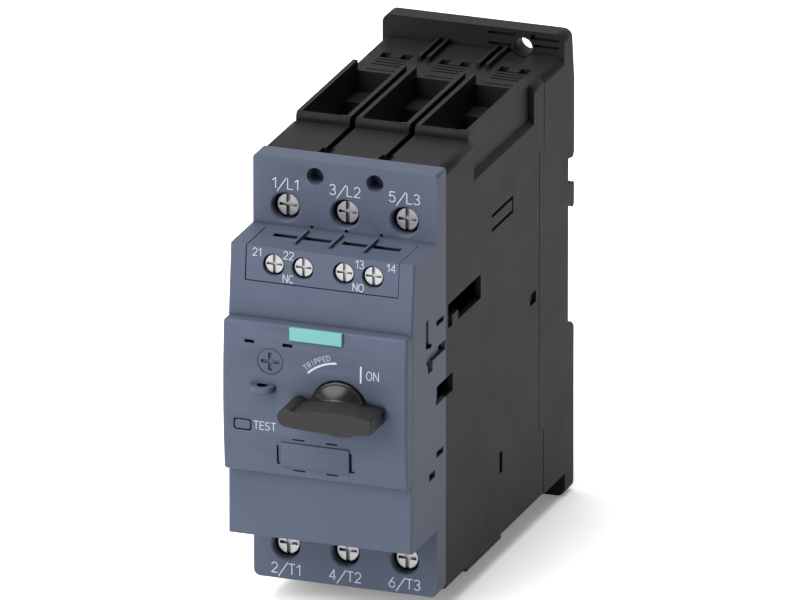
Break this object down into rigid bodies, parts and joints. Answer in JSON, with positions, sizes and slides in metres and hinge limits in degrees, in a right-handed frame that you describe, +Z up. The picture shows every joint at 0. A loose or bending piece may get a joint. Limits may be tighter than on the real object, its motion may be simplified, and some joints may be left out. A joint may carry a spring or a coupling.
{
  "type": "motor protection breaker",
  "caption": "Rail-mounted three-phase motor protection breaker with a rotary handle, screw box terminals above and below, a current dial and an auxiliary switch.",
  "frame": {"origin": "centre of the 35 mm rail seat: on the seat plane, at the rail's centre line and the breaker's mid width", "axes": "+X to the right seen from the front, +Y to the rear towards the rail, +Z up"},
  "size_m": [0.055, 0.1517, 0.14],
  "materials": {
    "front_plastic": "fine matte grain",
    "housing_plastic": "fine matte grain",
    "handle_plastic": "satin",
    "dial_plastic": "satin",
    "badge_plastic": "smooth",
    "inner_plastic": "moulded thermoset",
    "slide_plastic": "moulded",
    "screw_steel": "zinc plated",
    "clamp_steel": "zinc plated",
    "copper": "bare copper with plated tips",
    "plate_steel": "stamped",
    "bimetal": "rolled strip",
    "spring_steel": "drawn wire"
  },
  "bodies": {
    "breaker": {"base_housing": "housing_plastic", "main_housing": "housing_plastic", "front_housing": "front_plastic", "operator_cover": "front_plastic", "line_terminal_block": "housing_plastic", "load_terminal_block": "housing_plastic", "aux_switch_housing": "front_plastic", "label_plate": "front_plastic", "badge_plate": "badge_plastic", "housing_screws": "screw_steel", "line_bars": "copper", "middle_bars": "copper", "load_bars": "copper", "arc_plates": "plate_steel", "trip_coil_1": "copper", "trip_coil_2": "copper", "trip_coil_3": "copper", "coil_bobbins": "inner_plastic", "coil_yokes": "plate_steel", "bimetal_strips": "bimetal", "heater_windings": "bimetal", "mechanism_frame": "plate_steel", "aux_fixed_contacts": "copper", "test_button_spring": "spring_steel", "rail_slide_spring": "spring_steel"},
    "handle": {"knob": "handle_plastic", "knob_shaft": "plate_steel"},
    "carrier": {"contact_carrier": "inner_plastic", "contact_bridges": "copper", "contact_springs": "spring_steel"},
    "aux_carrier": {"aux_contact_carrier": "inner_plastic", "aux_contact_bridges": "copper"},
    "trip_bar": {"trip_bar": "inner_plastic"},
    "trip_slide": {"trip_slide": "inner_plastic"},
    "test_button": {"test_button": "front_plastic"},
    "setting_dial": {"setting_dial": "dial_plastic"},
    "rail_slide": {"rail_slide": "slide_plastic"},
    "plunger_1": {"trip_plunger_1": "plate_steel"},
    "plunger_2": {"trip_plunger_2": "plate_steel"},
    "plunger_3": {"trip_plunger_3": "plate_steel"},
    "line_screw_1": {"line_screw_1": "screw_steel"},
    "line_clamp_1": {"line_clamp_1": "clamp_steel"},
    "line_screw_2": {"line_screw_2": "screw_steel"},
    "line_clamp_2": {"line_clamp_2": "clamp_steel"},
    "line_screw_3": {"line_screw_3": "screw_steel"},
    "line_clamp_3": {"line_clamp_3": "clamp_steel"},
    "load_screw_1": {"load_screw_1": "screw_steel"},
    "load_clamp_1": {"load_clamp_1": "clamp_steel"},
    "load_screw_2": {"load_screw_2": "screw_steel"},
    "load_clamp_2": {"load_clamp_2": "clamp_steel"},
    "load_screw_3": {"load_screw_3": "screw_steel"},
    "load_clamp_3": {"load_clamp_3": "clamp_steel"},
    "aux_screw_1": {"aux_screw_1": "screw_steel"},
    "aux_clamp_1": {"aux_clamp_1": "clamp_steel"},
    "aux_screw_2": {"aux_screw_2": "screw_steel"},
    "aux_clamp_2": {"aux_clamp_2": "clamp_steel"},
    "aux_screw_3": {"aux_screw_3": "screw_steel"},
    "aux_clamp_3": {"aux_clamp_3": "clamp_steel"},
    "aux_screw_4": {"aux_screw_4": "screw_steel"},
    "aux_clamp_4": {"aux_clamp_4": "clamp_steel"}
  },
  "joints": [
    {"name": "carrier_slide", "type": "slide", "parent": "breaker", "child": "carrier", "axis": [0, -1, 0], "range_m": [0, 0.0043]},
    {"name": "handle_turn", "type": "hinge", "parent": "breaker", "child": "handle", "pos_m": [0.0075, -0.1349, 0], "axis": [0, 1, 0], "range_deg": [0, 90.01]},
    {"name": "aux_carrier_slide", "type": "slide", "parent": "breaker", "child": "aux_carrier", "axis": [0, -1, 0], "range_m": [0, 0.00251]},
    {"name": "trip_bar_turn", "type": "hinge", "parent": "breaker", "child": "trip_bar", "pos_m": [0, -0.0876, -0.024], "axis": [1, 0, 0], "range_deg": [0, 12], "stiffness_Nm_per_rad": 0.02},
    {"name": "trip_slide_travel", "type": "slide", "parent": "breaker", "child": "trip_slide", "axis": [1, 0, 0], "range_m": [0, 0.002], "stiffness_N_per_m": 100},
    {"name": "test_button_press", "type": "slide", "parent": "breaker", "child": "test_button", "axis": [0, 1, 0], "range_m": [0, 0.0015], "stiffness_N_per_m": 300, "deforming": ["test_button_spring"]},
    {"name": "dial_turn", "type": "hinge", "parent": "breaker", "child": "setting_dial", "pos_m": [-0.0132, -0.1346, 0.0115], "axis": [0, 1, 0], "range_deg": [-120, 120]},
    {"name": "rail_slide_travel", "type": "slide", "parent": "breaker", "child": "rail_slide", "axis": [0, 0, -1], "range_m": [0, 0.003], "stiffness_N_per_m": 2500, "deforming": ["rail_slide_spring"]},
    {"name": "plunger_1_travel", "type": "slide", "parent": "breaker", "child": "plunger_1", "axis": [0, -1, 0], "range_m": [0, 0.0025], "stiffness_N_per_m": 150},
    {"name": "plunger_2_travel", "type": "slide", "parent": "breaker", "child": "plunger_2", "axis": [0, -1, 0], "range_m": [0, 0.0025], "stiffness_N_per_m": 150},
    {"name": "plunger_3_travel", "type": "slide", "parent": "breaker", "child": "plunger_3", "axis": [0, -1, 0], "range_m": [0, 0.0025], "stiffness_N_per_m": 150},
    {"name": "line_clamp_1_lift", "type": "slide", "parent": "breaker", "child": "line_clamp_1", "axis": [0, -1, 0], "range_m": [0, 0.006]},
    {"name": "line_screw_1_turn", "type": "hinge", "parent": "breaker", "child": "line_screw_1", "pos_m": [-0.0178, -0.1056, 0.0485], "axis": [0, 1, 0], "range_deg": [0, 2161]},
    {"name": "line_clamp_2_lift", "type": "slide", "parent": "breaker", "child": "line_clamp_2", "axis": [0, -1, 0], "range_m": [0, 0.006]},
    {"name": "line_screw_2_turn", "type": "hinge", "parent": "breaker", "child": "line_screw_2", "pos_m": [0, -0.1056, 0.0485], "axis": [0, 1, 0], "range_deg": [0, 2161]},
    {"name": "line_clamp_3_lift", "type": "slide", "parent": "breaker", "child": "line_clamp_3", "axis": [0, -1, 0], "range_m": [0, 0.006]},
    {"name": "line_screw_3_turn", "type": "hinge", "parent": "breaker", "child": "line_screw_3", "pos_m": [0.0178, -0.1056, 0.0485], "axis": [0, 1, 0], "range_deg": [0, 2161]},
    {"name": "load_clamp_1_lift", "type": "slide", "parent": "breaker", "child": "load_clamp_1", "axis": [0, -1, 0], "range_m": [0, 0.006]},
    {"name": "load_screw_1_turn", "type": "hinge", "parent": "breaker", "child": "load_screw_1", "pos_m": [-0.0178, -0.1056, -0.0529], "axis": [0, 1, 0], "range_deg": [0, 2161]},
    {"name": "load_clamp_2_lift", "type": "slide", "parent": "breaker", "child": "load_clamp_2", "axis": [0, -1, 0], "range_m": [0, 0.006]},
    {"name": "load_screw_2_turn", "type": "hinge", "parent": "breaker", "child": "load_screw_2", "pos_m": [0, -0.1056, -0.0529], "axis": [0, 1, 0], "range_deg": [0, 2161]},
    {"name": "load_clamp_3_lift", "type": "slide", "parent": "breaker", "child": "load_clamp_3", "axis": [0, -1, 0], "range_m": [0, 0.006]},
    {"name": "load_screw_3_turn", "type": "hinge", "parent": "breaker", "child": "load_screw_3", "pos_m": [0.0178, -0.1056, -0.0529], "axis": [0, 1, 0], "range_deg": [0, 2161]},
    {"name": "aux_clamp_1_lift", "type": "slide", "parent": "breaker", "child": "aux_clamp_1", "axis": [0, -1, 0], "range_m": [0, 0.002]},
    {"name": "aux_screw_1_turn", "type": "hinge", "parent": "breaker", "child": "aux_screw_1", "pos_m": [-0.0144, -0.1266, 0.0381], "axis": [0, 1, 0], "range_deg": [0, 1201]},
    {"name": "aux_clamp_2_lift", "type": "slide", "parent": "breaker", "child": "aux_clamp_2", "axis": [0, -1, 0], "range_m": [0, 0.002]},
    {"name": "aux_screw_2_turn", "type": "hinge", "parent": "breaker", "child": "aux_screw_2", "pos_m": [-0.0057, -0.1266, 0.0381], "axis": [0, 1, 0], "range_deg": [0, 1201]},
    {"name": "aux_clamp_3_lift", "type": "slide", "parent": "breaker", "child": "aux_clamp_3", "axis": [0, -1, 0], "range_m": [0, 0.002]},
    {"name": "aux_screw_3_turn", "type": "hinge", "parent": "breaker", "child": "aux_screw_3", "pos_m": [0.0065, -0.1266, 0.0381], "axis": [0, 1, 0], "range_deg": [0, 1201]},
    {"name": "aux_clamp_4_lift", "type": "slide", "parent": "breaker", "child": "aux_clamp_4", "axis": [0, -1, 0], "range_m": [0, 0.002]},
    {"name": "aux_screw_4_turn", "type": "hinge", "parent": "breaker", "child": "aux_screw_4", "pos_m": [0.0152, -0.1266, 0.0381], "axis": [0, 1, 0], "range_deg": [0, 1201]}
  ],
  "couplings": [
    {"joint": "handle_turn", "follows": "carrier_slide", "rad_per_m": 365.3},
    {"joint": "aux_carrier_slide", "follows": "carrier_slide", "ratio": 0.58139},
    {"joint": "line_screw_1_turn", "follows": "line_clamp_1_lift", "rad_per_m": 6283.2},
    {"joint": "line_screw_2_turn", "follows": "line_clamp_2_lift", "rad_per_m": 6283.2},
    {"joint": "line_screw_3_turn", "follows": "line_clamp_3_lift", "rad_per_m": 6283.2},
    {"joint": "load_screw_1_turn", "follows": "load_clamp_1_lift", "rad_per_m": 6283.2},
    {"joint": "load_screw_2_turn", "follows": "load_clamp_2_lift", "rad_per_m": 6283.2},
    {"joint": "load_screw_3_turn", "follows": "load_clamp_3_lift", "rad_per_m": 6283.2},
    {"joint": "aux_screw_1_turn", "follows": "aux_clamp_1_lift", "rad_per_m": 10472},
    {"joint": "aux_screw_2_turn", "follows": "aux_clamp_2_lift", "rad_per_m": 10472},
    {"joint": "aux_screw_3_turn", "follows": "aux_clamp_3_lift", "rad_per_m": 10472},
    {"joint": "aux_screw_4_turn", "follows": "aux_clamp_4_lift", "rad_per_m": 10472}
  ]
}
